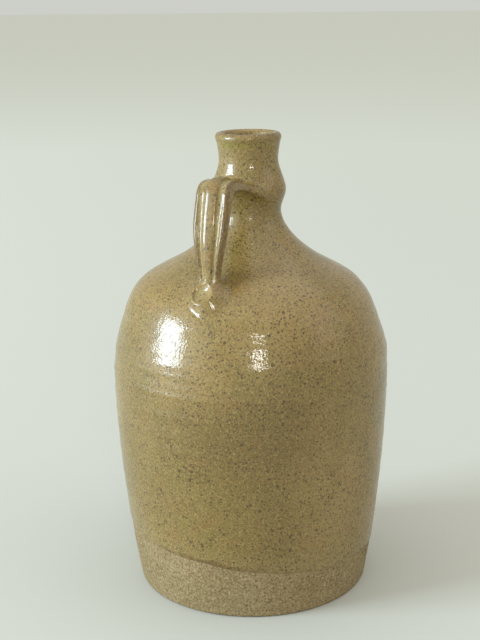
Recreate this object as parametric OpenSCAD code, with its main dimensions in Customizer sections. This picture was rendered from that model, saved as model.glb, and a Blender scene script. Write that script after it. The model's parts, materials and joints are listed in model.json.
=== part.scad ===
// Stoneware flagon: a wheel-thrown bottle with a ringed neck, a pulled strap
// handle and an olive speckled glaze. Millimetres. The origin is the centre of
// the foot, +Z runs up the bottle's axis, and the handle lies over +X.

/* [Body] */
// Height of the bottle from the table to the top of the lip
height = 300; // [294:1:310]
// Radius of the foot where the wall meets the table
foot_r = 76.5; // [72:0.1:78]
// Radius of the wall low on the body
low_r = 84.9; // [82:0.1:86]
// Radius of the belly at its widest
belly_r = 89.7; // [87:0.1:92]
// Height of the widest part of the belly
belly_z = 134; // [124:1:142]
// Radius where the shoulder starts to turn in
shoulder_r = 84; // [81:0.1:85]
// Height where the two thrown sections of the body join
joint_z = 144; // [138:1:160]
// Thickness of the floor
floor_t = 9; // [7:0.5:12]
// Thickness of the wall just above the floor
wall_low = 8; // [6:0.5:10]
// Thickness of the wall at the shoulder
wall_high = 5.5; // [5:0.5:7]

/* [Neck] */
// Radius of the narrow waist below the neck ring
waist_r = 20; // [19:0.1:22]
// Radius of the bulging ring that the handle springs from
ring_r = 23.1; // [22:0.1:25]
// Radius outside the throat, between the ring and the lip
throat_outer_r = 18.5; // [17.5:0.1:19.5]
// Radius of the glazed bore that takes the stopper
bore_r = 13; // [11:0.1:14]
// Length of the straight part of the bore
bore_length = 28; // [24:1:30]

/* [Handle] */
// Width of the strap over the top of the handle
strap_w = 22; // [18:0.5:26]
// Width of the strap where it narrows above the thumb pad
strap_tail_w = 9; // [8:0.5:12]
// Thickness of the strap at its ribs
strap_t = 6; // [5:0.5:7]
// Depth of the two finger grooves along the strap
groove_d = 1.3; // [0:0.1:1.8]
// Radius of the ball of clay that the thumb pressed on to the shoulder
pad_r = 10.9; // [9.5:0.1:12]
// Height that the pad stands proud of the shoulder
pad_proud = 8; // [6:0.5:9]

/* [Glaze] */
// Thickness of the fired glaze outside and inside
glaze_t = 0.6; // [0.5:0.1:0.9]
// Height of the dip line, measured on the bottle's axis
dip_z = 34.5; // [28:0.5:44]
// Tilt of the dip line from the level
dip_tilt = 6.3; // [0:0.1:8]
// Direction on the plan of the line's high side
dip_high_side = -60; // [-180:1:180]

/* [Hidden] */
$fn = 96;

clay_colour = [0.67, 0.59, 0.46];
glaze_colour = [0.56, 0.50, 0.33];

// The outline of the clay: height, radius, and lean (change of radius per
// millimetre of height) at each turn of the form, joined by cubic curves.
lip_round = 2.2;
lip_z = height - glaze_t - lip_round;
shoulder_z = 178;
STATIONS = [
    [0, foot_r, 0.21],
    [60, low_r, 0.11],
    [belly_z, belly_r, 0.02],
    [shoulder_z, shoulder_r, -0.36],
    [204, 69.9, -1.02],
    [222, 40.8, -1.37],
    [249, waist_r, -0.13],
    [266, ring_r, -0.22],
    [284, throat_outer_r, 0.06],
    [lip_z, throat_outer_r + 2.2, 0.29],
];
neck_joint_z = 238;

function span(z, i = 0) =
    (i >= len(STATIONS) - 2 || z < STATIONS[i + 1][0]) ? i : span(z, i + 1);

function cubic_r(a, b, t) =
    (2 * pow(t, 3) - 3 * t * t + 1) * a[1]
    + (pow(t, 3) - 2 * t * t + t) * (b[0] - a[0]) * a[2]
    + (3 * t * t - 2 * pow(t, 3)) * b[1]
    + (pow(t, 3) - t * t) * (b[0] - a[0]) * b[2];

function outline_r(z) =
    let (i = span(z), a = STATIONS[i], b = STATIONS[i + 1])
    cubic_r(a, b, (z - a[0]) / (b[0] - a[0]));

function lean(z) = (outline_r(z + 0.05) - outline_r(z - 0.05)) / 0.1;

// The point at height z on the outline, moved out along its normal.
function skin(z, out = 0) =
    let (s = lean(z), n = sqrt(1 + s * s))
    [outline_r(z) + out / n, z - out * s / n];

function skin_run(z0, z1, out, pitch) =
    let (n = ceil(abs(z1 - z0) / pitch))
    [for (i = [0:n]) skin(z0 + (z1 - z0) * i / n, out)];

function wall(z) = lookup(z, [[0, wall_low], [200, wall_high], [245, 5]]);

function inside(z, coat = 0) = skin(z, -wall(z) - coat);

function inside_run(z0, z1, coat, pitch) =
    let (n = ceil(abs(z1 - z0) / pitch))
    [for (i = [0:n]) inside(z0 + (z1 - z0) * i / n, coat)];

function arc(centre, r, a0, a1, n) =
    [for (i = [0:n]) let (a = a0 + (a1 - a0) * i / n)
        centre + r * [cos(a), sin(a)]];

function reversed(v) = [for (i = [len(v) - 1:-1:0]) v[i]];

// The inside corner where the floor turns up into the wall.
cove_r = 14;
cove_z = floor_t + cove_r;
function floor_run(coat) = concat(
    [[0, floor_t + coat]],
    arc([inside(cove_z)[0] - cove_r, cove_z], cove_r - coat, -90, 0, 8));

// The bore, and the funnel from its top up to the lip.
bore_top_z = 286;
bore_foot_z = bore_top_z - bore_length;
inside_top_z = 247;
lip_centre = [outline_r(lip_z) - lip_round, lip_z];
lip_steps = 6;
funnel_steps = 6;
function throat_run(coat) =
    let (r0 = bore_r + glaze_t - coat, r1 = lip_centre[0] - lip_round - coat)
    concat([[r0, bore_foot_z]],
        [for (i = [0:funnel_steps - 1])
            let (t = i / funnel_steps)
            [r0 + (r1 - r0) * t * t, bore_top_z + (lip_z - bore_top_z) * t]]);

module revolve(points) rotate_extrude() polygon(points);

body_pitch = 6;
neck_pitch = 2.5;
tongue_h = 3;

function tongue(z) = (skin(z) + inside(z)) / 2 + [0, tongue_h];

// Lower thrown section: foot, floor and wall up to the belly joint.
module lower_body() {
    bevel = 2;
    dish_r = 58;
    dish_h = 1.2;
    color(clay_colour)
        revolve(concat(
            [[0, dish_h], [dish_r - 8, dish_h], [dish_r, 0], [outline_r(0) - bevel, 0]],
            skin_run(bevel, joint_z, 0, body_pitch),
            [tongue(joint_z)],
            inside_run(joint_z, cove_z + body_pitch, 0, body_pitch),
            reversed(floor_run(0))));
}

// Upper thrown section: the shoulder, from the belly joint to the neck joint.
module upper_body() {
    color(clay_colour)
        revolve(concat(
            skin_run(joint_z, neck_joint_z, 0, body_pitch / 2),
            [tongue(neck_joint_z)],
            inside_run(neck_joint_z, joint_z, 0, body_pitch / 2),
            [tongue(joint_z)]));
}

// Neck thrown on to the shoulder: waist, ring, throat and flared lip.
module neck() {
    color(clay_colour)
        revolve(concat(
            skin_run(neck_joint_z, lip_z, 0, neck_pitch),
            arc(lip_centre, lip_round, 0, 180, 2 * lip_steps),
            reversed(throat_run(0)),
            inside_run(inside_top_z, neck_joint_z, 0, neck_pitch),
            [tongue(neck_joint_z)]));
}

// The strap's middle line, in the plane of the handle: distance from the axis,
// and height. It springs from the ring, humps over and drops to the shoulder.
STRAP_LINE = [[10, 264], [20, 267], [30, 270.8], [40, 273.6], [48.5, 273.2], [53, 269.2],
              [55.4, 262], [57.6, 254], [59.6, 246], [61.2, 238], [62, 229.5],
              [62.1, 221], [63.4, 211], [65.2, 203], [67, 196]];
strap_steps = 3;
section_points = 24;

function between(a, b, c, d, t) =
    0.5 * (2 * b + (c - a) * t + (2 * a - 5 * b + 4 * c - d) * t * t
        + (3 * b - a - 3 * c + d) * pow(t, 3));

strap_line = [for (i = [1:len(STRAP_LINE) - 3], k = [0:strap_steps - 1])
    between(STRAP_LINE[i - 1], STRAP_LINE[i], STRAP_LINE[i + 1], STRAP_LINE[i + 2],
        k / strap_steps)];
strap_last = len(strap_line) - 1;

function heading(i) =
    let (d = strap_line[min(i + 1, strap_last)] - strap_line[max(i - 1, 0)])
    d / norm(d);

// Broad where it leaves the ring and over the hump, narrow above the pad.
function strap_width(i) = lookup(i / strap_last,
    [[0, strap_w + 6], [0.15, strap_w + 1], [0.3, strap_w], [0.55, strap_w],
     [0.78, (strap_w + strap_tail_w) / 2], [0.92, strap_tail_w], [1, strap_tail_w]]);

// One ring of the strap: a rounded bar with three ribs along its outer face.
function strap_ring(i, coat) =
    let (c = strap_line[i], h = heading(i), out = [-h[1], h[0]],
        w = strap_width(i), fade = min(1, (w - strap_tail_w) / 6))
    [for (k = [0:section_points - 1])
        let (a = 360 * k / section_points, s = sin(a),
            across = (w / 2 + coat) * cos(a),
            groove = s > 0 ? groove_d * fade * (1 - cos(720 * across / w)) / 2 : 0,
            lift = sign(s) * (strap_t / 2 + coat) * pow(abs(s), 0.6) - groove)
        [c[0] + out[0] * lift, across, c[1] + out[1] * lift]];

function strap_sides(first, flip) = let (n = section_points)
    [for (i = [0:strap_last - 1], k = [0:n - 1])
        let (a = first + i * n + k, b = first + i * n + (k + 1) % n)
        flip ? [a, a + n, b + n, b] : [a, b, b + n, a + n]];

function strap_points(coat) =
    [for (i = [0:strap_last], p = strap_ring(i, coat)) p];

module strap(coat) {
    n = section_points;
    polyhedron(
        points = strap_points(coat),
        faces = concat(strap_sides(0, false), [[for (k = [n - 1:-1:0]) k],
            [for (k = [0:n - 1]) strap_last * n + k]]),
        convexity = 4);
}

// A hollow sleeve that fits round the strap, open at both ends.
module strap_coat(coat) {
    n = section_points;
    inner = n * (strap_last + 1);
    last = n * strap_last;
    polyhedron(
        points = concat(strap_points(coat), strap_points(0)),
        faces = concat(strap_sides(0, false), strap_sides(inner, true),
            [for (k = [0:n - 1]) let (m = (k + 1) % n) [k, inner + k, inner + m, m]],
            [for (k = [0:n - 1]) let (m = (k + 1) % n)
                [last + k, last + m, inner + last + m, inner + last + k]]),
        convexity = 6);
}

// The thumb pad sits on the slope of the shoulder, dented by the thumb.
pad_z = 206.5;
dent_r = 8.5;
dent_d = 3;
module pad(coat) {
    seat = skin(pad_z);
    n = (skin(pad_z, 1) - seat) / norm(skin(pad_z, 1) - seat);
    centre = seat + n * (pad_proud - pad_r);
    dent = seat + n * (pad_proud - dent_d + dent_r);
    difference() {
        translate([centre[0], 0, centre[1]]) sphere(pad_r + coat);
        translate([dent[0], 0, dent[1]]) sphere(dent_r - coat);
    }
}

// The strap's narrow tail where it passes through the pad's glaze.
module tail_slot() {
    i = strap_last - strap_steps;
    c = strap_line[i];
    h = heading(i);
    side = (strap_tail_w - strap_t) / 2;
    translate([c[0], 0, c[1]])
        rotate([0, atan2(h[0], h[1]), 0])
        linear_extrude(pad_r, center = true) {
            square([strap_t, 2 * side], center = true);
            translate([0, side]) circle(strap_t / 2);
            translate([0, -side]) circle(strap_t / 2);
        }
}

// Everything inside the bottle's skin, for cutting the handle to meet it.
module bottle_core(out) {
    revolve(concat(
        [[0, 150]],
        skin_run(150, 290, out, neck_pitch),
        [[0, 290]]));
}

module handle_strap() {
    color(clay_colour)
        difference() {
            strap(0);
            bottle_core(0);
            pad(0);
        }
}

module handle_pad() {
    color(clay_colour)
        difference() {
            pad(0);
            bottle_core(0);
        }
}

// The dip glaze outside, from its tilted edge near the foot over the lip.
module body_glaze() {
    bare_h = 100;
    color(glaze_colour)
        difference() {
            revolve(concat(
                skin_run(20, lip_z, glaze_t, neck_pitch),
                arc(lip_centre, lip_round + glaze_t, 0, 90, lip_steps),
                arc(lip_centre, lip_round, 90, 0, lip_steps),
                skin_run(lip_z, 20, 0, neck_pitch)));
            translate([0, 0, dip_z])
                rotate([0, 0, dip_high_side])
                rotate([0, -dip_tilt, 0])
                translate([0, 0, -bare_h / 2])
                cube([4 * belly_r, 4 * belly_r, bare_h], center = true);
            strap(0);
            pad(0);
        }
}

// The same glaze where it wraps the strap.
module strap_glaze() {
    color(glaze_colour)
        difference() {
            strap_coat(glaze_t);
            bottle_core(glaze_t);
            pad(glaze_t);
        }
}

// The same glaze over the thumb pad, open where the strap's tail comes in.
module pad_glaze() {
    color(glaze_colour)
        difference() {
            pad(glaze_t);
            pad(0);
            bottle_core(glaze_t);
            tail_slot();
        }
}

// The liner glaze, poured in: floor, wall, bore and funnel up to the lip.
module liner_glaze() {
    color(glaze_colour)
        revolve(concat(
            floor_run(0),
            inside_run(cove_z + body_pitch, inside_top_z, 0, body_pitch / 2),
            throat_run(0),
            arc(lip_centre, lip_round, 180, 90, lip_steps),
            arc(lip_centre, lip_round + glaze_t, 90, 180, lip_steps),
            reversed(throat_run(glaze_t)),
            inside_run(inside_top_z, cove_z + body_pitch, glaze_t, body_pitch / 2),
            reversed(floor_run(glaze_t))));
}

lower_body();
upper_body();
neck();
handle_strap();
handle_pad();
body_glaze();
strap_glaze();
pad_glaze();
liner_glaze();
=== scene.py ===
"""Looks of the stoneware flagon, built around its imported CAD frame.

Everything is made in the part's own frame: +Z up, the handle over +X. Shapes are
worked out in millimetres, and turned into metres where a mesh is made."""

import json
import math

import bpy
import numpy as np
from mathutils import Matrix, Vector


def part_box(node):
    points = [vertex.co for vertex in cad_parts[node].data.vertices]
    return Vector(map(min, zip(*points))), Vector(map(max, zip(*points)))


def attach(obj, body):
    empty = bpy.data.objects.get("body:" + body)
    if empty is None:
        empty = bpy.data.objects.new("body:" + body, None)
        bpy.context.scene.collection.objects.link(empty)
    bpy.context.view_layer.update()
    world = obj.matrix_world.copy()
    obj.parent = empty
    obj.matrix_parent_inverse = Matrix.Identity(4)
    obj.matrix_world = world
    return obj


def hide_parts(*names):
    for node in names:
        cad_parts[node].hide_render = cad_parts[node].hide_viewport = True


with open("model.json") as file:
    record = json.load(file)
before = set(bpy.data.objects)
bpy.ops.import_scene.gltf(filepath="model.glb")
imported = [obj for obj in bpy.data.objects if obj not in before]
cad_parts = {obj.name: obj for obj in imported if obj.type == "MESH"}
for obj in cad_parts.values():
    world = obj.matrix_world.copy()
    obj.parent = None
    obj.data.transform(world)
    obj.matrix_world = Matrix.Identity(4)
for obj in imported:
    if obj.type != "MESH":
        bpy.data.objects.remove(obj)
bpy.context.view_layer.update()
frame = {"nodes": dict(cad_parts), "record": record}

MM = 0.001
TURN = 2 * math.pi
MOUNTS = {m["name"]: m for m in frame["record"]["mounts"]}
BORE_R = MOUNTS["mouth_bore"]["dims"]["r_mm"]
BORE_TOP = MOUNTS["mouth_bore"]["pos_m"][2] / MM + MOUNTS["mouth_bore"]["dims"]["length_mm"] / 2
LIP_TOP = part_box("body_glaze")[1].z / MM
LIP_ROUND = 2.8
GLAZE_T = 0.6
FOOT_TO_DIP = 34.5


# ---------------------------------------------------------------- the outline

def turned_rings(node, outward):
    """(z, r) in mm of a turned CAD node's rings, read on the side away from the handle.

    outward picks the faces that look away from the axis, or those that look at it."""
    mesh = frame["nodes"][node].data
    found = set()
    for face in mesh.polygons:
        centre = face.center
        if centre.x > -abs(centre.y) or abs(face.normal.z) > 0.95:
            continue
        looks_out = centre.x * face.normal.x + centre.y * face.normal.y > 0
        if looks_out != outward:
            continue
        for index in face.vertices:
            v = mesh.vertices[index].co
            found.add((round(v.z / MM, 2), round(math.hypot(v.x, v.y) / MM, 2)))
    rings = sorted(found)
    kept = [rings[0]]
    for ring in rings[1:]:
        if ring[0] - kept[-1][0] > 1.0:
            kept.append(ring)
    return np.array(kept)


def through(rings, z):
    """The radius at height z on a smooth curve through the rings."""
    xs, ys = rings.T
    slopes = np.gradient(ys, xs)
    i = np.clip(np.searchsorted(xs, z) - 1, 0, len(xs) - 2)
    width = xs[i + 1] - xs[i]
    t = np.clip((z - xs[i]) / width, 0, 1)
    keep = 2 * t**3 - 3 * t**2 + 1
    lead = t**3 - 2 * t**2 + t
    trail = t**3 - t**2
    return (keep * ys[i] + (1 - keep) * ys[i + 1]
            + width * (lead * slopes[i] + trail * slopes[i + 1]))


GLAZE_RINGS = turned_rings("body_glaze", True)
CLAY_RINGS = turned_rings("lower_body", True)[1:]
WALL_RINGS = turned_rings("lower_body", False)


def glaze_r(z):
    """Outer radius of the glazed bottle, in mm."""
    return through(GLAZE_RINGS, z)


def dip_height(angle):
    """Height of the tilted, slightly wavy edge of the dip glaze."""
    return (FOOT_TO_DIP + 9.0 * np.cos(angle + 1.05) - 1.6 * np.cos(2 * angle - 0.6)
            + 0.7 * np.sin(5 * angle + 0.4) + 0.45 * np.sin(9 * angle + 2.0)
            + 0.25 * np.sin(17 * angle))


def bump_at(z, centre, width):
    return np.exp(-((z - centre) / width) ** 2)


# Narrow ridges the fingers left: height, where round they dip, and how proud.
SHARP_RINGS = [(121.0, 0.3, 0.14), (134.5, 1.9, 0.22), (148.0, 3.1, 0.40), (161.5, 4.0, 0.20),
               (189.0, 5.2, 0.07)]


def thrown_relief(z, angle):
    """How far the wheel and the hands left the wall from a true turned form, in mm."""
    strength = 0.03 + 0.05 * bump_at(z, 165, 48) + 0.04 * bump_at(z, 90, 30)
    spiral = angle / TURN
    rings = np.sin(TURN * (z / 13.4 - spiral) + 0.9 * np.sin(TURN * z / 61.0))
    fine = np.sin(TURN * (z / 5.9 - spiral) + 1.3 * np.sin(TURN * z / 37.0))
    wobble = 0.20 * np.cos(2 * angle + z / 70.0) + 0.12 * np.cos(3 * angle - z / 45.0)
    ridge = 0.22 * bump_at(z, 142.5 + 0.8 * np.sin(angle + 0.7), 2.4)
    for height, turn, size in SHARP_RINGS:
        ridge = ridge + size * bump_at(z, height + 0.5 * np.sin(angle + turn), 1.5)
    ripple = 0.05 * np.sin(7 * angle + z / 11.0) * np.sin(z / 17.0 + 2 * np.sin(angle))
    level = 1 - bump_at(z, 300, 26)
    leaning = (1.1 * bump_at(z, 203, 15) * np.clip(np.cos(angle + 1.14), 0, 1)
               + 0.9 * bump_at(z, 161, 8) * np.clip(np.cos(angle - 2.0), 0, 1))
    return (leaning + strength * rings + 0.35 * strength * fine + ridge
            + (wobble + ripple) * level * np.clip(z / 20.0, 0, 1) * 0.7)


# ------------------------------------------------------------- meshes by hand

def new_object(name, mesh):
    piece = bpy.data.objects.new(name, mesh)
    bpy.context.scene.collection.objects.link(piece)
    return piece


def mesh_piece(name, points_mm, faces, material):
    """A closed piece from points in millimetres and its faces."""
    mesh = bpy.data.meshes.new(name)
    points = np.asarray(points_mm, float) * MM
    mesh.from_pydata(points.tolist(), [], faces)
    mesh.update()
    mesh.materials.append(material)
    for face in mesh.polygons:
        face.use_smooth = True
    return new_object(name, mesh)


def paint(piece, name, values):
    """Stores one number per vertex, for the materials to read."""
    attribute = piece.data.attributes.new(name, "FLOAT", "POINT")
    attribute.data.foreach_set("value", np.asarray(values, np.float32))


def ring_faces(rows, columns, wrap):
    """Quads between rows of a turned surface; wrap joins the last row to the first."""
    row = np.arange(rows if wrap else rows - 1)[:, None]
    column = np.arange(columns)[None, :]
    after = (row + 1) % rows
    beside = (column + 1) % columns
    quads = np.stack([row * columns + column, row * columns + beside,
                      after * columns + beside, after * columns + column], axis=-1)
    return quads.reshape(-1, 4).tolist()


def arc_lengths(path):
    steps = np.hypot(*np.diff(path, axis=0).T)
    return np.concatenate([[0], np.cumsum(steps)])


# ---------------------------------------------------------------- the dip coat

COAT_COLUMNS = 300
COAT_PITCH = 1.5
EDGE_ROLL = 1.3
EDGE_STEPS = np.array([0, 0.06, 0.2, 0.42, 0.75, 1.2, 1.8, 2.6])
BACK_ROWS = 42

# Plan angles in degrees from the handle towards +Y: the brown streak on the glaze's
# lower edge, and the darker, browner area on the belly: painted shade facing the camera, and
# browner glaze.
STREAK_TURN = 5.0
BROWN_SHADE_TURN = 22.0


def mouth_path():
    """(r, z) from the lip's outside over its crest and down the funnel into the bore."""
    centre_r = glaze_r(LIP_TOP - LIP_ROUND) - LIP_ROUND
    centre_z = LIP_TOP - LIP_ROUND
    turn = np.radians(np.arange(6, 181, 6))
    crest = np.column_stack([centre_r + LIP_ROUND * np.cos(turn),
                             centre_z + LIP_ROUND * np.sin(turn)])
    t = np.linspace(1, 0, 14)[1:]
    inner_r = centre_r - LIP_ROUND
    funnel = np.column_stack([BORE_R + (inner_r - BORE_R) * t**2,
                              BORE_TOP + (centre_z - BORE_TOP) * t])
    bore = np.column_stack([np.full(8, BORE_R), BORE_TOP - 1.5 * np.arange(1, 9)])
    return np.vstack([crest, funnel, bore])


def coat_path():
    """(r, z) of the glaze from low on the body to the inside of the mouth."""
    z = np.arange(20.0, LIP_TOP - LIP_ROUND, 0.5)
    wall = np.column_stack([glaze_r(z), z])
    return np.vstack([wall, mouth_path()])


def path_normals(path):
    tangent = np.gradient(path, axis=0)
    tangent /= np.linalg.norm(tangent, axis=1)[:, None]
    return np.column_stack([tangent[:, 1], -tangent[:, 0]])


def coat_points(path, lengths, normals, s, angle, inset):
    """Points at arc length s and plan angle on the coat, inset mm below its face."""
    r = np.interp(s, lengths, path[:, 0])
    z = np.interp(s, lengths, path[:, 1])
    nr = np.interp(s, lengths, normals[:, 0])
    nz = np.interp(s, lengths, normals[:, 1])
    out = thrown_relief(z, angle) - inset
    r = r + nr * out
    return np.stack([r * np.cos(angle), r * np.sin(angle), z + nz * out], axis=-1)


def turned_from(angle, degrees):
    """The plan angle counted from a place some degrees round, from -pi to pi."""
    return (angle - math.radians(degrees) + math.pi) % TURN - math.pi


def coat_inset(s, along, end):
    """How deep the coat's face lies: rolled over at its edge, a bead, proud in the throat."""
    roll = np.sqrt(np.clip(1 - (1 - np.clip(along / EDGE_ROLL, 0, 1)) ** 2, 0, 1))
    bead = 0.12 * bump_at(along, 2.0, 1.6)
    hidden = np.clip((end - s) / 4.0, 0, 1)
    return GLAZE_T * (1 - roll) - bead * roll - 0.12 * hidden * (s > end - 24)


def paint_coat(piece, angle, z, from_edge):
    """Marks thin glaze, the band by its lower edge, the browner painted shade facing the camera
    and the lip's line.
    """
    crest = np.clip((z - (LIP_TOP - 1.6)) / 1.2, 0, 1)
    low = bump_at(from_edge, 1.8, 2.2)
    streak = 0.25 + 0.6 * np.exp(-(turned_from(angle, STREAK_TURN) / 0.35) ** 2)
    # Painted shade: a darker, browner area on the belly where it faces the camera, which is also
    # browner glaze.
    brown_and_shade = bump_at(z, 122.0, 32.0) * np.exp(-(turned_from(angle, BROWN_SHADE_TURN) / 0.60) ** 2)
    paint(piece, "ridge", np.clip(0.6 * crest + streak * low, 0, 1).ravel())
    paint(piece, "edge", np.exp(-(from_edge / 11.0) ** 2).ravel())
    # The brown mark carries that painted shade together with the browner glaze.
    paint(piece, "brown", brown_and_shade.ravel())
    paint(piece, "lip_line", bump_at(z, LIP_TOP - 6.8, 1.5).ravel())


def dip_coat(material):
    """The glaze outside: a rolled wavy edge by the foot, the wall, lip and mouth."""
    path = coat_path()
    lengths = arc_lengths(path)
    normals = path_normals(path)
    angle = np.linspace(0, TURN, COAT_COLUMNS, endpoint=False)[None, :]
    start = np.interp(dip_height(angle), path[:, 1], lengths)
    end = lengths[-1]
    first = start + EDGE_STEPS[:, None]
    rest = np.linspace(0, 1, int((end - start.min()) / COAT_PITCH))[1:]
    s = np.vstack([first, first[-1] + (end - first[-1]) * rest[:, None]])
    along = s - start
    outer = coat_points(path, lengths, normals, s, angle, coat_inset(s, along, end))
    s_back = start + (end - start) * np.linspace(1, 0, BACK_ROWS)[:, None]
    inner = coat_points(path, lengths, normals, s_back, angle, GLAZE_T + 0.15)
    points = np.concatenate([outer, inner])
    faces = ring_faces(len(points), COAT_COLUMNS, wrap=True)
    piece = mesh_piece("dip_glaze_coat", points.reshape(-1, 3), faces, material)
    paint_coat(piece, angle, points[..., 2], np.concatenate([along, s_back - start]))
    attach(piece, "root")
    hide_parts("body_glaze")


# ----------------------------------------------------------- the lower section

FOOT_COLUMNS = 256
FOOT_BEVEL = 2.2
DISH_R = 58.0
DISH_H = 1.2
DISH_STEP = 8.0


def foot_relief(z, angle):
    """Turning lines and a soft uneven edge on the bare foot."""
    lines = 0.035 * np.sin(TURN * z / 2.3 + 0.5 * np.sin(3 * angle))
    lines = lines + 0.05 * np.sin(TURN * z / 7.1 + 1.0)
    uneven = 0.12 * np.sin(4 * angle + 1.0) + 0.08 * np.sin(11 * angle + z / 6.0)
    return thrown_relief(z, angle) + (lines + uneven * np.exp(-z / 9.0)) * (z < 50)


def wire_marks(x, y):
    """The fan of shallow arcs that a cutting wire leaves across the base."""
    reach = np.hypot(x + 150.0, y - 40.0)
    return 0.16 * np.sin(TURN * reach / 4.4 + 0.6 * np.sin(reach / 9.0))


def turned_row(angle, r, z):
    """One ring of points; its radius and height may both vary round it."""
    r = r + 0 * angle
    return np.stack([r * np.cos(angle), r * np.sin(angle), z + 0 * angle], -1)[0]


def base_rows(angle):
    """The underside: a dish with wire marks, then a soft step down to the foot."""
    rows = []
    for r in np.linspace(3, DISH_R - DISH_STEP, 24):
        x, y = r * np.cos(angle), r * np.sin(angle)
        fade = min(1.0, (DISH_R - DISH_STEP - r) / 6.0)
        rows.append(turned_row(angle, r, DISH_H + fade * wire_marks(x, y)))
    for t in np.linspace(0, 1, 6)[1:]:
        height = DISH_H * (1 - t * t * (3 - 2 * t))
        rows.append(turned_row(angle, DISH_R - DISH_STEP + DISH_STEP * t, height))
    return rows


def outer_rows(angle, joint_z):
    """The foot's bevel and the wall up to the joint, sunk a little under the glaze."""
    edge_z, edge_r = CLAY_RINGS[0]
    soft = foot_relief(edge_z, angle)
    rows = []
    for turn in np.radians(np.linspace(-90, 0, 7)):
        r = edge_r - FOOT_BEVEL + FOOT_BEVEL * math.cos(turn) + soft * math.cos(turn)
        rows.append(turned_row(angle, r, FOOT_BEVEL + FOOT_BEVEL * math.sin(turn)))
    for z in np.concatenate([np.arange(3.2, 50, 0.9), np.arange(50, joint_z, 4.0), [joint_z]]):
        sunk = 0.15 if z > 55 else 0.0
        r = through(CLAY_RINGS, np.array(z)) + foot_relief(z, angle) - sunk
        rows.append(turned_row(angle, r, z))
    return rows


def inner_rows(angle, joint_z, floor_z):
    """The tongue of the joint, the wall inside, and the cove down to the floor."""
    tongue_z, tongue_r = CLAY_RINGS[-1]
    inner = WALL_RINGS[(WALL_RINGS[:, 0] > 24) & (WALL_RINGS[:, 0] < joint_z + 1)]
    rows = [turned_row(angle, tongue_r, tongue_z)]
    for z, r in inner[::-1]:
        rows.append(turned_row(angle, r, z))
    low_z, low_r = inner[0]
    cove = low_z - floor_z
    for turn in np.radians(np.linspace(0, 90, 9))[1:]:
        rows.append(turned_row(angle, low_r - cove + cove * math.cos(turn),
                               low_z - cove * math.sin(turn)))
    rows.append(turned_row(angle, 3.0, floor_z))
    return rows


def lower_section(material):
    """Foot, floor and wall of the bottle up to the belly joint, bare at the foot."""
    joint_z = CLAY_RINGS[-2][0]
    floor_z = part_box("liner_glaze")[0].z / MM
    angle = np.linspace(0, TURN, FOOT_COLUMNS, endpoint=False)[None, :]
    rows = base_rows(angle) + outer_rows(angle, joint_z) + inner_rows(angle, joint_z, floor_z)
    points = np.concatenate(rows)
    faces = ring_faces(len(rows), FOOT_COLUMNS, wrap=False)
    below, above = len(points), len(points) + 1
    points = np.vstack([points, [0, 0, DISH_H], [0, 0, floor_z]])
    last = (len(rows) - 1) * FOOT_COLUMNS
    for k in range(FOOT_COLUMNS):
        beside = (k + 1) % FOOT_COLUMNS
        faces.append([below, beside, k])
        faces.append([above, last + k, last + beside])
    piece = mesh_piece("lower_section", points, faces, material)
    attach(piece, "root")
    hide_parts("lower_body")


# ------------------------------------------------------------------ the handle
# The strap and its thumb pad are one distance field, blended into the bottle's
# wall with soft fillets and then skinned.

STRAP_LOW, STRAP_HIGH = (np.array(corner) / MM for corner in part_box("strap_glaze"))
PAD_LOW, PAD_HIGH = (np.array(corner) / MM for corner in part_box("pad_glaze"))
STRAP_T = 6.4
BURIED = 0.15
SKIRT = 1.0
FIELD_STEP = 0.55

# The strap's middle line, as millimetres in from its outermost face and down from
# its crest: out of the ring, over the hump, down and on into the pad.
STRAP_STEPS = [(56.5, 13.5), (46.5, 10.5), (36.5, 6.6), (26.5, 3.9), (18.0, 4.2), (13.4, 8.2),
               (11.0, 15.5), (8.8, 23.5), (6.8, 31.5), (5.2, 39.5), (4.3, 48.0), (4.2, 56.5),
               (3.0, 66.5), (1.2, 74.5), (-0.6, 81.5)]


def strap_line():
    """Dense (x, z) points along the strap, from inside the ring into the pad."""
    corners = np.array([(STRAP_HIGH[0] - inwards, STRAP_HIGH[2] - down)
                        for inwards, down in STRAP_STEPS])
    at = np.arange(len(corners))
    dense = np.linspace(0, len(corners) - 1, 420)
    return np.column_stack([through(np.column_stack([at, corners[:, k]]), dense)
                            for k in range(2)])


STRAP_LINE = strap_line()
STRAP_LENGTHS = arc_lengths(STRAP_LINE)
STRAP_SHARE = STRAP_LENGTHS / STRAP_LENGTHS[-1]


def strap_place(x, z):
    """Share along the strap's line and signed distance outside it, in its own plane."""
    flat = np.column_stack([np.ravel(x), np.ravel(z)])
    share = np.empty(len(flat))
    side = np.empty(len(flat))
    tangent = np.gradient(STRAP_LINE, axis=0)
    tangent /= np.linalg.norm(tangent, axis=1)[:, None]
    for first in range(0, len(flat), 20000):
        part = flat[first:first + 20000]
        gap = part[:, None, :] - STRAP_LINE[None, :, :]
        nearest = np.argmin((gap ** 2).sum(-1), axis=1)
        offset = gap[np.arange(len(part)), nearest]
        t = tangent[nearest]
        ahead = (offset * t).sum(-1)
        share[first:first + 20000] = STRAP_SHARE[nearest] + ahead / STRAP_LENGTHS[-1]
        side[first:first + 20000] = offset[:, 1] * t[:, 0] - offset[:, 0] * t[:, 1]
    return share.reshape(np.shape(x)), side.reshape(np.shape(x))


def soft_min(a, b, k):
    h = np.clip(0.5 + 0.5 * (b - a) / k, 0, 1)
    return b + (a - b) * h - k * h * (1 - h)


def soft_max(a, b, k):
    return -soft_min(-a, -b, k)


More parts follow.
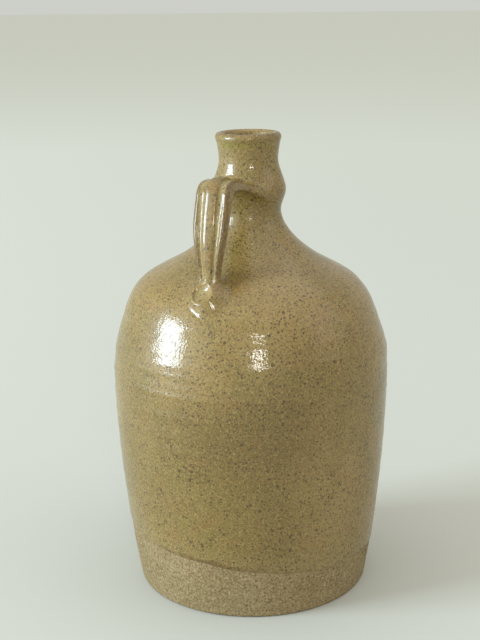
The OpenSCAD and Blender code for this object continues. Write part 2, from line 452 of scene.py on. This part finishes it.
# Each pair goes down the strap by share of its line, then gives a size there in mm,
# or for the last one the share of the full thickness.
WIDTH_AT = [0, 0.09, 0.17, 0.26, 0.35, 0.45, 0.53, 0.60, 0.67, 0.74, 0.81, 0.90, 1]
HALF_WIDTH = [17.5, 16.0, 13.5, 12.3, 12.2, 12.2, 11.9, 11.3, 10.0, 8.3, 7.0, 6.3, 6.4]
DRIFT_AT, DRIFT = [0.3, 0.6, 0.85, 1], [0, 0.9, 1.4, 0.9]
GROOVE_AT, GROOVE = [0, 0.12, 0.25, 0.7, 0.85, 1], [0, 1.0, 1.9, 1.8, 1.2, 0.5]
CROWN_AT, CROWN = [0, 0.14, 0.3, 0.42, 0.55, 1], [1.0, 2.2, 3.6, 3.2, 1.2, 0.8]
THICK_AT, THICK = [0, 0.12, 0.25, 0.8, 1], [0.6, 0.72, 1, 1, 0.95]


def strap_drift(share):
    """How far the lower strap wanders towards +Y, in mm."""
    return np.interp(share, DRIFT_AT, DRIFT)


def strap_field(y, share, side):
    """Distance to the strap: a bar with three ribs and two grooves down its face."""
    half_w = np.interp(share, WIDTH_AT, HALF_WIDTH)
    y = y - strap_drift(share)
    half_t = 0.5 * STRAP_T * np.interp(share, THICK_AT, THICK)
    across = np.clip(y / half_w, -1.3, 1.3)
    depth = np.interp(share, GROOVE_AT, GROOVE)
    groove = np.exp(-((np.abs(across) - 0.5) / 0.17) ** 2)
    crown = np.interp(share, CROWN_AT, CROWN)
    face = side + depth * groove * (side > 0) * np.clip(side, 0, 1) + crown * across ** 2
    qy = np.abs(y) - (half_w - half_t)
    reach = np.hypot(np.clip(qy, 0, None), face)
    return np.where(qy > 0, reach, np.abs(face)) - half_t


def pad_field(x, y, z):
    """Distances to the pad's lump of clay and to the thumb that pressed it."""
    seat_x, seat_z = 0.5 * (PAD_LOW[0] + PAD_HIGH[0]) - 2.0, PAD_HIGH[2] - 11.0
    down = math.radians(45.0)
    u = (x - seat_x) * math.cos(down) - (z - seat_z) * math.sin(down)
    n = (x - seat_x) * math.sin(down) + (z - seat_z) * math.cos(down)
    lump = (np.sqrt((u / 10.8) ** 2 + ((y - 0.7) / 10.8) ** 2 + (n / 10.2) ** 2) - 1) * 10.0
    hollow = np.sqrt((u - 1.2) ** 2 + (y - 0.2) ** 2 + (n - 14.0) ** 2) - 9.2
    return lump, hollow


def wall_field(x, y, z):
    """Distance to the glazed wall of the bottle, good near the wall."""
    angle = np.arctan2(y, x)
    safe_z = np.clip(z, 150.0, LIP_TOP - LIP_ROUND)
    r = glaze_r(safe_z)
    lean = glaze_r(safe_z + 0.5) - glaze_r(safe_z - 0.5)
    level = 1 / np.sqrt(1 + lean ** 2)
    return (np.hypot(x, y) - r) * level - thrown_relief(safe_z, angle)


def handle_field(x, y, z, share, side):
    """The handle with its fillets, cut off just under the bottle's skin."""
    strap = strap_field(y, share, side)
    lump, thumb = pad_field(x, y, z)
    handle = soft_max(soft_min(strap, lump, 3.0), -thumb, 1.0)
    wall = wall_field(x, y, z)
    side_fillet = 4.6 + 2.4 * np.tanh(y / 4.0)
    fillet = np.where(z < 235, side_fillet, 7.0)
    joined = soft_min(handle, wall + BURIED, fillet)
    trimmed = np.maximum(joined, -(wall + SKIRT))
    return np.maximum(trimmed, handle - fillet - 1.0)


def shifted(grid, corner, size):
    """The grid's values at one corner of every cell."""
    i, j, k = corner
    return grid[i:i + size[0], j:j + size[1], k:k + size[2]]


def crossing_sums(field, size):
    """For each cell, the sum and the count of the zero crossings on its edges."""
    total = np.zeros(tuple(size) + (3,))
    count = np.zeros(tuple(size))
    corners = [(i, j, k) for i in (0, 1) for j in (0, 1) for k in (0, 1)]
    for start in corners:
        for axis in range(3):
            if start[axis]:
                continue
            stop = tuple(c + (n == axis) for n, c in enumerate(start))
            a, b = shifted(field, start, size), shifted(field, stop, size)
            crossing = (a < 0) != (b < 0)
            share = np.where(crossing, a / np.where(crossing, a - b, 1), 0)
            for n in range(3):
                total[..., n] += crossing * (start[n] + (share if n == axis else 0))
            count += crossing
    return total, count


def net_quads(inside, index, size, axis):
    """Quads across the grid edges along one axis where the field changes sign."""
    u, v = [(1, 2), (2, 0), (0, 1)][axis]
    low = [slice(1, s) for s in size]
    low[axis] = slice(0, size[axis])
    here = inside[tuple(low)]
    high = list(low)
    high[axis] = slice(1, size[axis] + 1)
    there = inside[tuple(high)]
    change = np.argwhere(here != there)
    base = change + np.array([0 if n == axis else 1 for n in range(3)])
    leaving = here[tuple(change.T)]
    around = []
    for du, dv in ((-1, -1), (0, -1), (0, 0), (-1, 0)):
        cell = base.copy()
        cell[:, u] += du
        cell[:, v] += dv
        around.append(index[tuple(cell.T)])
    quad = np.stack(around, axis=1)
    quad[~leaving] = quad[~leaving][:, ::-1]
    return quad


def surface_net(field, origin, step):
    """Points and quads of the surface where a gridded field passes zero."""
    size = np.array(field.shape) - 1
    total, count = crossing_sums(field, size)
    active = count > 0
    index = np.full(tuple(size), -1)
    index[active] = np.arange(active.sum())
    cells = np.argwhere(active)
    points = origin + step * (cells + total[active] / count[active][:, None])
    quads = [net_quads(field < 0, index, size, axis) for axis in range(3)]
    return points, np.concatenate(quads)


def exact_field(points):
    x, y, z = points.T
    share, side = strap_place(x, z)
    return handle_field(x, y, z, share, side)


def settle(points, level, rounds=3):
    """Moves points on to the exact surface of the field."""
    reach = 0.05
    for _ in range(rounds):
        here = exact_field(points) - level
        slope = np.stack([(exact_field(points + reach * axis) - level - here) / reach
                          for axis in np.eye(3)], axis=1)
        size = np.clip((slope ** 2).sum(1), 0.25, None)
        points = points - np.clip(here / size, -0.4, 0.4)[:, None] * slope
    return points


def skin_handle(level, step):
    """Points and quads of the handle's surface, level mm outside its face."""
    low = np.array([7.0, STRAP_LOW[1] - 11, PAD_LOW[2] - 9])
    high = np.array([PAD_HIGH[0] + 6, STRAP_HIGH[1] + 11, STRAP_HIGH[2] + 7])
    count = ((high - low) / step).astype(int)
    axes = [low[n] + step * np.arange(count[n]) for n in range(3)]
    x, z = np.meshgrid(axes[0], axes[2], indexing="ij")
    share, side = strap_place(x, z)
    field = np.empty(tuple(count))
    for j, y in enumerate(axes[1]):
        field[:, j, :] = handle_field(x, y + 0 * x, z, share, side) - level
    points, quads = surface_net(field, low, step)
    return settle(points, level), quads


def bending(points, reach=0.9):
    """How sharply the surface bulges (+) or hollows (-) at each point, per mm."""
    total = sum(exact_field(points + sign * reach * axis)
                for axis in np.eye(3) for sign in (-1, 1))
    return (total - 6 * exact_field(points)) / reach ** 2


def rib_wear(points):
    """Where the glaze ran thin on the strap: most on its side ribs, less on the middle."""
    x, y, z = points.T
    share, side = strap_place(x, z)
    half_w = np.interp(share, WIDTH_AT, HALF_WIDTH)
    across = (y - strap_drift(share)) / half_w
    sides = np.clip((np.abs(across) - 0.60) / 0.22, 0, 1)
    middle = 0.42 * np.exp(-(across / 0.28) ** 2)
    along = np.clip((share - 0.16) / 0.12, 0, 1) * np.clip((0.88 - share) / 0.12, 0, 1)
    face = np.clip((side + 1.5) / 2.0, 0, 1)
    return np.clip(np.maximum(sides, middle), 0, 1) * along * face


def handle_pieces(glaze, clay):
    """The glazed skin of the strap and pad, and the clay inside it."""
    points, quads = skin_handle(0.0, FIELD_STEP)
    core_points, core_quads = skin_handle(-GLAZE_T, 2 * FIELD_STEP)
    skin_faces = quads.tolist() + (core_quads[:, ::-1] + len(points)).tolist()
    coat = mesh_piece("handle_glaze_coat", np.vstack([points, core_points]), skin_faces, glaze)
    bend = bending(points)
    nothing = np.zeros(len(core_points))
    pool = np.clip((-bend - 0.02) / 0.35, 0, 1) * np.clip((points[:, 0] - 30.0) / 8.0, 0, 1)
    ridge = rib_wear(points)
    paint(coat, "ridge", np.concatenate([ridge, nothing]))
    paint(coat, "pool", np.concatenate([pool, nothing]))
    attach(coat, "root")
    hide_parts("strap_glaze", "pad_glaze")
    core = mesh_piece("handle_clay", core_points, core_quads.tolist(), clay)
    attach(core, "root")
    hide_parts("handle_strap", "handle_pad")


# --------------------------------------------------------------- the materials

def linear(*srgb):
    """Linear colour from sRGB values of 0 to 255."""
    values = [c / 255 for c in srgb]
    return [c / 12.92 if c <= 0.04045 else ((c + 0.055) / 1.055) ** 2.4 for c in values]


class Shader:
    """A short way to wire up one material's nodes."""

    def __init__(self, name):
        self.material = bpy.data.materials.new(name)
        self.material.use_nodes = True
        self.tree = self.material.node_tree
        self.surface = self.tree.nodes["Principled BSDF"]
        coordinates = self.tree.nodes.new("ShaderNodeTexCoord").outputs["Object"]
        scaled = self.tree.nodes.new("ShaderNodeVectorMath")
        scaled.operation = "SCALE"
        scaled.inputs["Scale"].default_value = 1 / MM
        self.link(coordinates, scaled.inputs[0])
        self.place = scaled.outputs[0]

    def link(self, value, socket):
        if isinstance(value, bpy.types.NodeSocket):
            self.tree.links.new(value, socket)
        elif isinstance(value, list) and len(socket.default_value) == 4:
            socket.default_value = (*value, 1)
        else:
            socket.default_value = value

    def math(self, operation, a, b=0.0, c=0.0, clamp=False):
        node = self.tree.nodes.new("ShaderNodeMath")
        node.operation = operation
        node.use_clamp = clamp
        for value, socket in zip((a, b, c), node.inputs):
            self.link(value, socket)
        return node.outputs[0]

    def mix(self, share, a, b):
        node = self.tree.nodes.new("ShaderNodeMix")
        node.data_type = "RGBA"
        self.link(share, node.inputs["Factor"])
        self.link(a, node.inputs[6])
        self.link(b, node.inputs[7])
        return node.outputs[2]

    def step(self, value, low, high, to_low=0.0, to_high=1.0):
        """A smooth step: to_low below low, to_high above high."""
        node = self.tree.nodes.new("ShaderNodeMapRange")
        node.interpolation_type = "SMOOTHSTEP"
        for given, socket in zip((value, low, high, to_low, to_high), node.inputs):
            self.link(given, socket)
        return node.outputs[0]

    def stretch(self, scale, shift):
        node = self.tree.nodes.new("ShaderNodeMapping")
        node.inputs["Location"].default_value = shift
        node.inputs["Scale"].default_value = scale
        self.link(self.place, node.inputs["Vector"])
        return node.outputs[0]

    def length(self):
        """Distance from the part's origin, in mm."""
        node = self.tree.nodes.new("ShaderNodeVectorMath")
        node.operation = "LENGTH"
        self.link(self.place, node.inputs[0])
        return node.outputs["Value"]

    def noise(self, size_mm, detail, rough, place=None):
        """Noise whose blobs are about size_mm across, from 0 to 1."""
        node = self.tree.nodes.new("ShaderNodeTexNoise")
        self.link(place or self.place, node.inputs["Vector"])
        node.inputs["Scale"].default_value = 0.5 / size_mm
        node.inputs["Detail"].default_value = detail
        node.inputs["Roughness"].default_value = rough
        return node.outputs["Fac"]

    def ragged(self, size_mm, amount_mm):
        """Coordinates pushed about, so that what is drawn with them has ragged edges."""
        node = self.tree.nodes.new("ShaderNodeTexNoise")
        self.link(self.place, node.inputs["Vector"])
        node.inputs["Scale"].default_value = 0.5 / size_mm
        node.inputs["Detail"].default_value = 2.0
        centred = self.tree.nodes.new("ShaderNodeVectorMath")
        centred.operation = "SUBTRACT"
        self.link(node.outputs["Color"], centred.inputs[0])
        centred.inputs[1].default_value = (0.5, 0.5, 0.5)
        pushed = self.tree.nodes.new("ShaderNodeVectorMath")
        pushed.operation = "MULTIPLY_ADD"
        self.link(centred.outputs[0], pushed.inputs[0])
        pushed.inputs[1].default_value = (2 * amount_mm,) * 3
        self.link(self.place, pushed.inputs[2])
        return pushed.outputs[0]

    def specks(self, spacing_mm, radius_mm, share, place, soft):
        """Scattered round spots: share of the cells hold one, each of its own size."""
        cell = self.tree.nodes.new("ShaderNodeTexVoronoi")
        self.link(place, cell.inputs["Vector"])
        cell.inputs["Scale"].default_value = 1 / spacing_mm
        split = self.tree.nodes.new("ShaderNodeSeparateColor")
        self.link(cell.outputs["Color"], split.inputs[0])
        chance, size = split.outputs[0], split.outputs[1]
        largest = radius_mm / spacing_mm
        radius = self.math("MULTIPLY_ADD", size, 0.45 * largest, 0.55 * largest)
        inner = self.math("MULTIPLY", radius, 1 - soft)
        spot = self.step(cell.outputs["Distance"], radius, inner)
        present = self.math("LESS_THAN", chance, share)
        return self.math("MULTIPLY", spot, present)

    def painted(self, name):
        node = self.tree.nodes.new("ShaderNodeAttribute")
        node.attribute_name = name
        return node.outputs["Fac"]

    def bump(self, height, distance_mm, strength, normal=None):
        node = self.tree.nodes.new("ShaderNodeBump")
        node.inputs["Strength"].default_value = strength
        node.inputs["Distance"].default_value = distance_mm * MM
        self.link(height, node.inputs["Height"])
        if normal is not None:
            self.link(normal, node.inputs["Normal"])
        return node.outputs[0]


OLIVE = linear(122, 100, 45)
TAN = linear(140, 115, 61)
GREEN = linear(111, 99, 36)
WARM = linear(134, 98, 49)
# Darker brown for painted shade on the belly where it faces the camera, and for browner glaze
# there.
BROWN_AND_SHADE = linear(96, 74, 24)
IRON = linear(72, 54, 12)
RUST = linear(118, 74, 20)
BREAK = linear(96, 68, 18)
POOLED = linear(158, 144, 96)
LIP_LINE = linear(124, 114, 34)
EDGE = linear(128, 110, 62)
PALE = linear(164, 146, 92)


def glaze_colour(s):
    """The mottled olive of the glaze, with what the vertex marks add to it."""
    colour = s.mix(s.step(s.noise(30.0, 2.0, 0.5), 0.36, 0.64), OLIVE, TAN)
    colour = s.mix(s.step(s.noise(9.0, 3.0, 0.6), 0.48, 0.70, 0.0, 0.4), colour, GREEN)
    banded = s.stretch((1.0, 1.0, 2.2), (31.0, 7.0, 0.0))
    colour = s.mix(s.step(s.noise(10.0, 3.0, 0.6, banded), 0.52, 0.70, 0.0, 0.4), colour, WARM)
    # Painted shade: the belly darker and browner where it faces the camera, with browner glaze
    # there too.
    colour = s.mix(s.math("MULTIPLY", s.painted("brown"), 0.6), colour, BROWN_AND_SHADE)
    colour = s.mix(s.step(s.painted("pool"), 0.0, 1.0, 0.0, 0.5), colour, POOLED)
    colour = s.mix(s.math("MULTIPLY", s.painted("lip_line"), 0.7), colour, LIP_LINE)
    colour = s.mix(s.math("MULTIPLY", s.painted("edge"), 0.6), colour, EDGE)
    thin = s.math("ADD", s.painted("ridge"),
                  s.math("MULTIPLY_ADD", s.noise(1.8, 3.0, 0.6), 1.0, -0.5))
    colour = s.mix(s.step(thin, 0.2, 0.8, 0.0, 0.85), colour, BREAK)
    grain = s.noise(0.6, 2.0, 0.7)
    colour = s.mix(s.step(grain, 0.51, 0.66, 0.0, 0.50), colour, IRON)
    return s.mix(s.step(grain, 0.47, 0.34, 0.0, 0.45), colour, PALE)


def iron_specks(s, colour):
    """Adds rusty halos and spots, and iron specks of three sizes; also gives the middle ones."""
    crowd = s.step(s.noise(11.0, 2.0, 0.5, s.stretch((1, 1, 1), (5.0, 60.0, 9.0))), 0.40, 0.62)
    ragged = s.ragged(0.8, 0.35)
    halo = s.specks(4.0, 1.8, 0.35, s.ragged(3.0, 1.6), 0.9)
    colour = s.mix(s.math("MULTIPLY", halo, 0.35), colour, RUST)
    small = s.specks(1.4, 0.55, 0.6, ragged, 0.3)
    middle = s.specks(2.0, 0.85, s.math("MULTIPLY_ADD", crowd, 0.30, 0.38), ragged, 0.25)
    large = s.specks(4.0, 1.25, s.math("MULTIPLY_ADD", crowd, 0.25, 0.06), ragged, 0.3)
    rusty = s.specks(2.7, 0.85, 0.25, s.ragged(1.0, 0.4), 0.4)
    for spots, strength, tint in ((rusty, 0.7, RUST), (small, 0.8, IRON), (middle, 0.9, IRON),
                                  (large, 0.9, IRON)):
        colour = s.mix(s.math("MULTIPLY", spots, strength), colour, tint)
    return colour, middle


def glaze_material(name, gloss):
    """Speckled olive glaze: brown where it is thin, pale where it pools, satin to glossy."""
    s = Shader(name)
    colour, middle = iron_specks(s, glaze_colour(s))
    s.link(colour, s.surface.inputs["Base Color"])
    rough = s.step(s.noise(5.0, 3.0, 0.6), 0.3, 0.7, 0.46, 0.56)
    s.link(rough, s.surface.inputs["Roughness"])
    s.surface.inputs["IOR"].default_value = 1.46
    s.surface.inputs["Coat Weight"].default_value = 0.62
    s.surface.inputs["Coat Roughness"].default_value = 0.07 - 0.03 * gloss
    s.surface.inputs["Coat IOR"].default_value = 1.5
    peel = s.noise(0.8, 2.0, 0.5)
    normal = s.bump(s.noise(6.0, 1.0, 0.4), 0.5, 0.6)
    normal = s.bump(peel, 0.15 - 0.06 * gloss, 1.0, normal)
    normal = s.bump(middle, 0.06, 0.6, normal)
    s.link(normal, s.surface.inputs["Normal"])
    s.link(normal, s.surface.inputs["Coat Normal"])
    return s.material


def clay_material():
    """Bare fired stoneware: sandy tan with dark and pale grains, dry to the touch."""
    s = Shader("bare_stoneware")
    body = s.mix(s.step(s.noise(22.0, 3.0, 0.6), 0.35, 0.68),
                 linear(144, 126, 90), linear(131, 113, 76))
    grain = s.noise(0.75, 3.0, 0.75)
    body = s.mix(s.step(grain, 0.52, 0.66, 0.0, 0.85), body, linear(84, 62, 36))
    body = s.mix(s.step(grain, 0.47, 0.34, 0.0, 0.7), body, linear(176, 158, 120))
    ragged = s.ragged(0.8, 0.4)
    dark = s.specks(1.8, 0.7, 0.45, ragged, 0.4)
    body = s.mix(s.math("MULTIPLY", dark, 0.65), body, linear(86, 60, 38))
    rusty = s.specks(3.0, 1.0, 0.3, ragged, 0.5)
    body = s.mix(s.math("MULTIPLY", rusty, 0.6), body, linear(136, 82, 42))
    s.link(body, s.surface.inputs["Base Color"])
    s.link(s.step(grain, 0.3, 0.7, 0.72, 0.92), s.surface.inputs["Roughness"])
    s.surface.inputs["IOR"].default_value = 1.45
    normal = s.bump(s.noise(0.6, 3.0, 0.7), 0.22, 0.8)
    s.link(s.bump(s.noise(3.5, 2.0, 0.5), 0.4, 0.5, normal), s.surface.inputs["Normal"])
    return s.material


# ------------------------------------------------------------ floor and lights

CAMERA_TURN = math.radians(24.5)
CAMERA_REACH = 0.780
CAMERA_HEIGHT = 0.380
CAMERA_PITCH = math.radians(14.64)
CAMERA_YAW = math.radians(0.485)
CAMERA_ROLL = math.radians(-0.66)
LENS_MM = 68.5
FLOOR_HALF = 40.0


def plan_direction(turn):
    return Vector((math.cos(turn), math.sin(turn), 0))


def add_camera():
    """Stands where the bottle is seen a little from above, its handle to the left."""
    towards = plan_direction(CAMERA_TURN)
    up = Vector((0, 0, 1))
    forward = -towards * math.cos(CAMERA_PITCH) - up * math.sin(CAMERA_PITCH)
    right = forward.cross(up).normalized()
    turned = forward * math.cos(CAMERA_YAW) - right * math.sin(CAMERA_YAW)
    right = right * math.cos(CAMERA_YAW) + forward * math.sin(CAMERA_YAW)
    above = right.cross(turned)
    rolled = right * math.cos(CAMERA_ROLL) + above * math.sin(CAMERA_ROLL)
    above = above * math.cos(CAMERA_ROLL) - right * math.sin(CAMERA_ROLL)
    axes = Matrix((rolled, above, -turned)).transposed().to_4x4()
    place = towards * CAMERA_REACH + up * CAMERA_HEIGHT
    data = bpy.data.cameras.new("camera")
    data.lens = LENS_MM
    data.sensor_width = 36.0
    data.clip_start = 0.01
    camera = new_object("camera", data)
    camera.matrix_world = Matrix.Translation(place) @ axes
    bpy.context.scene.camera = camera


def add_window(name, turn_deg, elevation_deg, reach, width, height, watts, colour):
    """A soft area light that looks at the middle of the bottle."""
    data = bpy.data.lights.new(name, "AREA")
    data.shape = "RECTANGLE"
    data.size = width
    data.size_y = height
    data.energy = watts
    data.color = colour
    lamp = new_object(name, data)
    elevation = math.radians(elevation_deg)
    aim = Vector((0, 0, 0.15))
    offset = plan_direction(math.radians(turn_deg)) * math.cos(elevation)
    offset.z = math.sin(elevation)
    lamp.location = aim + offset * reach
    lamp.rotation_euler = offset.to_track_quat("Z", "Y").to_euler()


def floor_material():
    """Matt off-white, a little paler far from the bottle."""
    s = Shader("pale_floor")
    far = s.math("MULTIPLY", s.length(), 1 / 2500.0, clamp=True)
    tint = s.mix(far, linear(190, 191, 183), linear(208, 210, 202))
    tint = s.mix(s.math("MULTIPLY", s.noise(60.0, 3.0, 0.5), 0.15), tint, linear(198, 201, 193))
    s.link(tint, s.surface.inputs["Base Color"])
    s.surface.inputs["Roughness"].default_value = 0.8
    s.surface.inputs["Specular IOR Level"].default_value = 0.0
    return s.material


def add_floor():
    mesh = bpy.data.meshes.new("floor")
    half = FLOOR_HALF
    mesh.from_pydata([(-half, -half, 0), (half, -half, 0), (half, half, 0), (-half, half, 0)],
                     [], [(0, 1, 2, 3)])
    mesh.materials.append(floor_material())
    floor = new_object("floor", mesh)


def add_world():
    world = bpy.data.worlds.new("studio")
    world.use_nodes = True
    background = world.node_tree.nodes["Background"]
    background.inputs["Color"].default_value = (0.98, 1.0, 0.93, 1)
    background.inputs["Strength"].default_value = 0.62
    bpy.context.scene.world = world


def add_ceiling():
    """A very wide soft light from straight above, even over the whole floor."""
    data = bpy.data.lights.new("ceiling", "SUN")
    data.energy = 0.95
    data.angle = math.radians(85)
    data.color = (1.0, 0.99, 0.95)
    new_object("ceiling", data)


def add_lights():
    view_turn = math.degrees(CAMERA_TURN)
    add_window("left_window", view_turn - 74, 15.5, 4.5, 1.82, 1.80, 285.0, (0.74, 0.88, 1.0))
    add_window("front_light", view_turn + 6, 18, 2.4, 0.31, 0.22, 9.5, (1.0, 0.98, 0.95))
    add_window("right_fill", view_turn + 75, 30, 2.8, 1.8, 1.6, 7.5, (1.0, 0.99, 0.95))
    add_ceiling()


# ------------------------------------------------------------------- the scene

def dress_hidden_clay(clay, glaze):
    """The CAD pieces that stay take the same clay and glaze."""
    for name in ("upper_body", "neck"):
        set_material(frame["nodes"][name], clay)
    set_material(frame["nodes"]["liner_glaze"], glaze)


def set_material(piece, material):
    piece.data.materials.clear()
    piece.data.materials.append(material)


add_camera()
add_floor()
add_world()
add_lights()
clay = clay_material()
wall_glaze = glaze_material("speckled_glaze", 0.25)
strap_glaze = glaze_material("handle_glaze", 0.8)
liner = glaze_material("liner_glaze", 0.6)
dip_coat(wall_glaze)
lower_section(clay)
handle_pieces(strap_glaze, clay)
dress_hidden_clay(clay, liner)
bpy.context.scene.view_settings.view_transform = "Standard"
